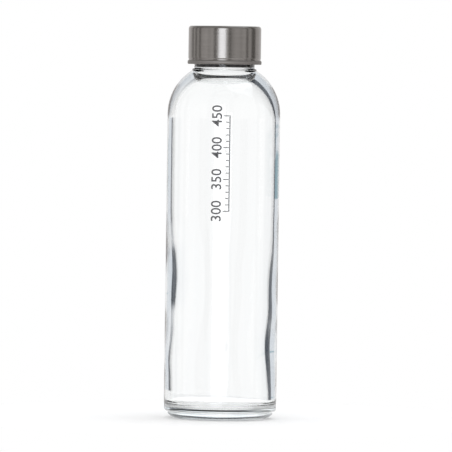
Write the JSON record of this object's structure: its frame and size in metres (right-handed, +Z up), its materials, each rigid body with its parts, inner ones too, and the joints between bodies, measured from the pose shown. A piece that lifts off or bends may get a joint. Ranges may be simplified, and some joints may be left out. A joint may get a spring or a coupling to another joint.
{
  "type": "glass water bottle",
  "caption": "Half-litre clear glass water bottle with a cylindrical body, rounded shoulder and a brushed steel screw cap.",
  "frame": {"origin": "centre of the bearing ring, on the plane that the bottle stands on", "axes": "+Z runs up the bottle's axis to the cap; X and Y are across the body, and the glass thread starts near +X"},
  "size_m": [0.065, 0.065, 0.2262],
  "materials": {
    "clear_glass": "clear blown soda-lime glass, polished",
    "brushed_cap_steel": "brushed around the axis",
    "insert_plastic": "fine moulded matt",
    "gasket_silicone": "soft satin silicone"
  },
  "bodies": {
    "bottle": {"glass_bottle": "clear_glass"},
    "seal": {"cap_gasket": "gasket_silicone"},
    "cap": {"cap_shell": "brushed_cap_steel", "cap_insert": "insert_plastic"}
  },
  "joints": [
    {"name": "cap_lift", "type": "slide", "parent": "bottle", "child": "seal", "axis": [0, 0, 1], "range_m": [0, 0.0198]},
    {"name": "cap_turn", "type": "hinge", "parent": "seal", "child": "cap", "pos_m": [0, 0, 0.2152], "axis": [0, 0, 1], "range_deg": [0, 1680]}
  ],
  "couplings": [
    {"joint": "cap_lift", "follows": "cap_turn", "m_per_rad": 0.0006737}
  ]
}
